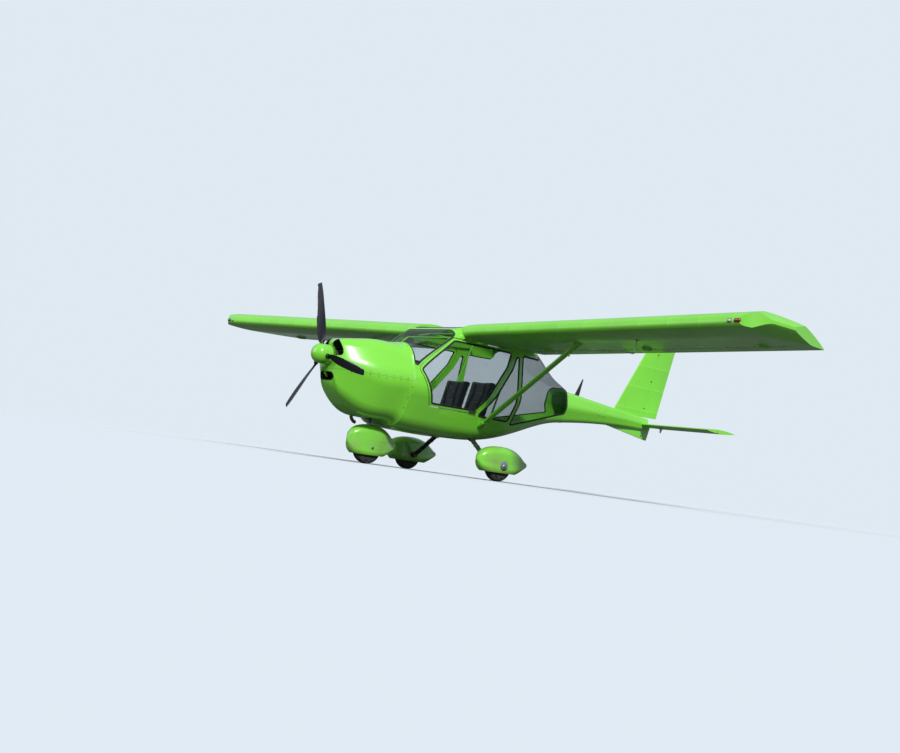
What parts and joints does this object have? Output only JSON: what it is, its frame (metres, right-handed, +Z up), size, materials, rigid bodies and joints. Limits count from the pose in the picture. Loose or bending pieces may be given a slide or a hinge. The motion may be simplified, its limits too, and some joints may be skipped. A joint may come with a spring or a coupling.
{
  "type": "high-wing microlight aircraft",
  "caption": "High-wing tractor microlight with glazed cabin, strut-braced wing, flaperons, tail boom and faired tricycle gear.",
  "frame": {"origin": "on the ground below the middle of the aircraft's box", "axes": "+Z up, -Y forward to the propeller, +X to the pilot's left (port)"},
  "size_m": [9.55, 6.23, 2.3999],
  "materials": {
    "lime_paint": "gloss lime green paint",
    "lime_fabric": "painted fabric over ribs",
    "frame_paint": "green painted tube",
    "clear_glazing": "smoky clear sheet",
    "blade_black": "gloss navy black",
    "hub_metal": "machined",
    "engine_metal": "cast",
    "firewall_metal": "sheet",
    "exhaust_steel": "heat stained",
    "leg_dark": "dark painted leg",
    "wheel_metal": "cast and machined",
    "tyre": "black rubber",
    "seat_cloth": "charcoal cloth",
    "panel_black": "textured black",
    "control_metal": "black anodised"
  },
  "bodies": {
    "airframe": {"cowl_upper": "lime_paint", "cowl_lower": "lime_paint", "cabin_shell": "lime_paint", "tail_boom": "lime_paint", "spat_port": "lime_paint", "spat_starboard": "lime_paint", "ventral_fin": "lime_paint", "wing_port": "lime_fabric", "wing_starboard": "lime_fabric", "fin": "lime_fabric", "tailplane": "lime_fabric", "strut_port": "frame_paint", "strut_starboard": "frame_paint", "cabin_frame_port": "frame_paint", "cabin_frame_starboard": "frame_paint", "cross_tubes": "frame_paint", "windscreen": "clear_glazing", "roof_window": "clear_glazing", "rear_window": "clear_glazing", "side_window_port": "clear_glazing", "side_window_starboard": "clear_glazing", "engine": "engine_metal", "radiator": "engine_metal", "exhaust": "exhaust_steel", "firewall": "firewall_metal", "seat_frame": "firewall_metal", "gear_leg_port": "leg_dark", "gear_leg_starboard": "leg_dark", "nose_leg": "hub_metal", "hinge_plate_port": "hub_metal", "hinge_plate_starboard": "hub_metal", "seat_cushion_port": "seat_cloth", "seat_cushion_starboard": "seat_cloth", "seat_back_port": "seat_cloth", "seat_back_starboard": "seat_cloth", "instrument_panel": "panel_black", "control_stick": "control_metal", "rudder_pedals": "control_metal"},
    "propeller": {"propeller": "blade_black", "spinner": "lime_paint"},
    "nose_steering": {"nose_fork": "hub_metal", "nose_spat": "lime_paint"},
    "nose_wheel": {"tyre_nose": "tyre", "rim_nose": "wheel_metal"},
    "main_wheel_port": {"tyre_port": "tyre", "rim_port": "wheel_metal"},
    "main_wheel_starboard": {"tyre_starboard": "tyre", "rim_starboard": "wheel_metal"},
    "door_port": {"door_frame_port": "lime_paint", "door_window_port": "clear_glazing", "door_hinge_port": "hub_metal"},
    "door_starboard": {"door_frame_starboard": "lime_paint", "door_window_starboard": "clear_glazing", "door_hinge_starboard": "hub_metal"},
    "flaperon_port": {"flaperon_port": "lime_fabric"},
    "flaperon_starboard": {"flaperon_starboard": "lime_fabric"},
    "elevator": {"elevator": "lime_fabric"},
    "rudder": {"rudder": "lime_fabric"}
  },
  "joints": [
    {"name": "propeller_spin", "type": "hinge", "parent": "airframe", "child": "propeller", "pos_m": [0, -2.985, 1.16], "axis": [0, 1, 0], "continuous": true},
    {"name": "nose_steer", "type": "hinge", "parent": "airframe", "child": "nose_steering", "pos_m": [0, -2.21, 0.5], "axis": [0, 0, 1], "range_deg": [-20, 20]},
    {"name": "nose_wheel_spin", "type": "hinge", "parent": "nose_steering", "child": "nose_wheel", "pos_m": [0, -2.18, 0.19], "axis": [1, 0, 0], "continuous": true},
    {"name": "main_wheel_port_spin", "type": "hinge", "parent": "airframe", "child": "main_wheel_port", "pos_m": [0.85, -0.88, 0.19], "axis": [1, 0, 0], "continuous": true},
    {"name": "main_wheel_starboard_spin", "type": "hinge", "parent": "airframe", "child": "main_wheel_starboard", "pos_m": [-0.85, -0.88, 0.19], "axis": [1, 0, 0], "continuous": true},
    {"name": "door_port_lift", "type": "hinge", "parent": "airframe", "child": "door_port", "pos_m": [0.54, -1, 1.602], "axis": [0, -1, 0], "range_deg": [0, 72]},
    {"name": "door_starboard_lift", "type": "hinge", "parent": "airframe", "child": "door_starboard", "pos_m": [-0.54, -1, 1.602], "axis": [0, 1, 0], "range_deg": [0, 72]},
    {"name": "flaperon_port_turn", "type": "hinge", "parent": "airframe", "child": "flaperon_port", "pos_m": [0.64, -0.28367, 1.68291], "axis": [-0.9989, 0.0401, -0.0262], "range_deg": [-20, 25]},
    {"name": "flaperon_starboard_turn", "type": "hinge", "parent": "airframe", "child": "flaperon_starboard", "pos_m": [-0.64, -0.28367, 1.68291], "axis": [-0.9989, -0.0401, 0.0262], "range_deg": [-20, 25]},
    {"name": "elevator_turn", "type": "hinge", "parent": "airframe", "child": "elevator", "pos_m": [0, 2.69, 1.05], "axis": [1, 0, 0], "range_deg": [-20, 25]},
    {"name": "rudder_turn", "type": "hinge", "parent": "airframe", "child": "rudder", "pos_m": [0, 2.485, 1.16], "axis": [0, 0.209, 0.9779], "range_deg": [-25, 25]}
  ],
  "couplings": [
    {"joint": "rudder_turn", "follows": "nose_steer", "ratio": -1.25}
  ]
}
